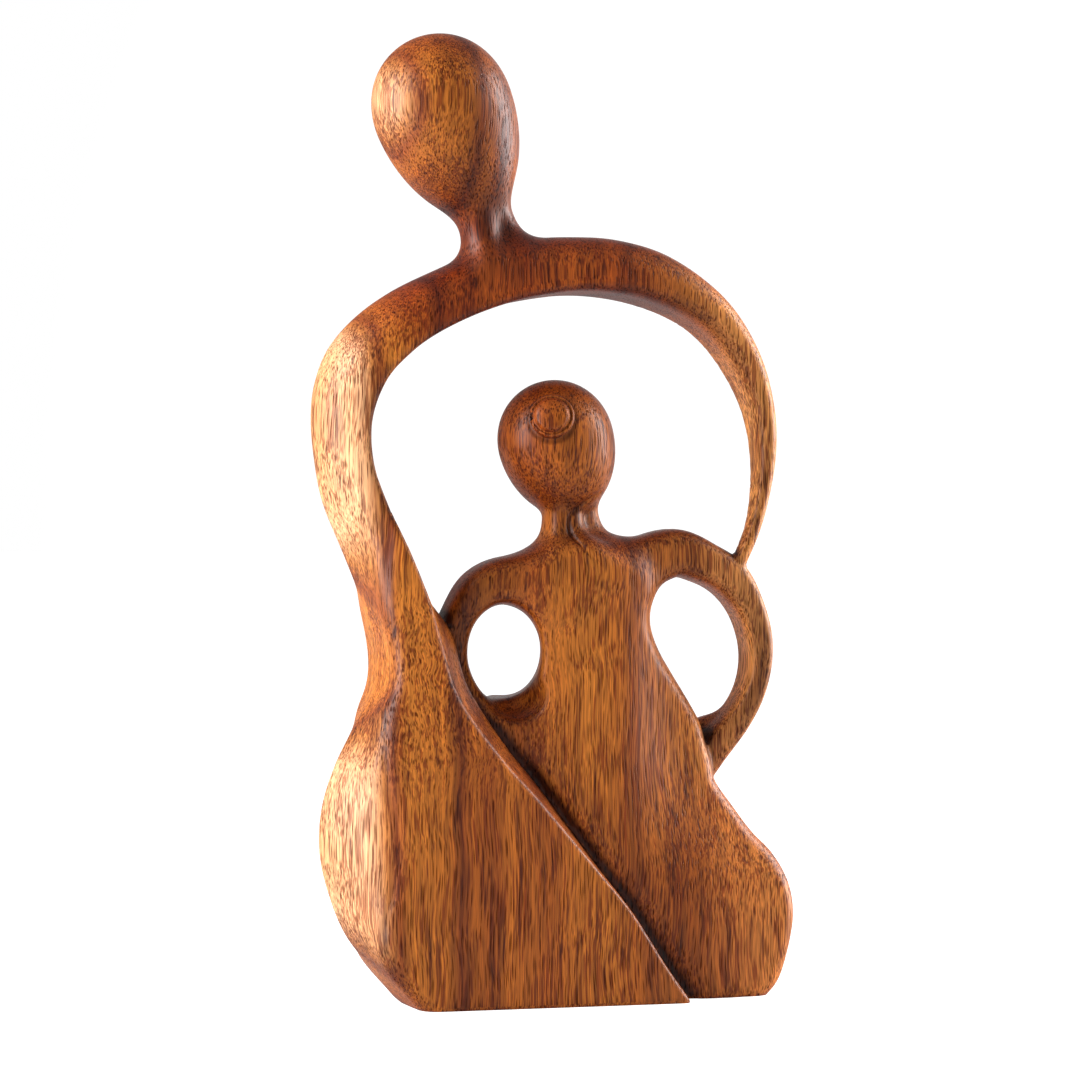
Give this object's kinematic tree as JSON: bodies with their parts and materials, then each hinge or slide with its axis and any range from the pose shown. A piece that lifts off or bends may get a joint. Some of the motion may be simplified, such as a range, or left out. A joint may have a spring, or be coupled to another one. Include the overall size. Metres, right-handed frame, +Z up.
{
  "type": "father and child sculpture",
  "caption": "Abstract wooden carving of a father and child: a smooth faceless figure in a long robe arches an arm over the child, who stands with hands on hips.",
  "frame": {"origin": "on the ground, under the middle of the carving's bounding box", "axes": "+Z up, the carved front faces -Y, +X is to the right when the front is looked at"},
  "size_m": [0.152, 0.0488, 0.2981],
  "materials": {
    "wood": "sanded smooth and waxed to a satin sheen"
  },
  "bodies": {
    "root": {"father_and_child_carving": "wood"}
  },
  "joints": []
}
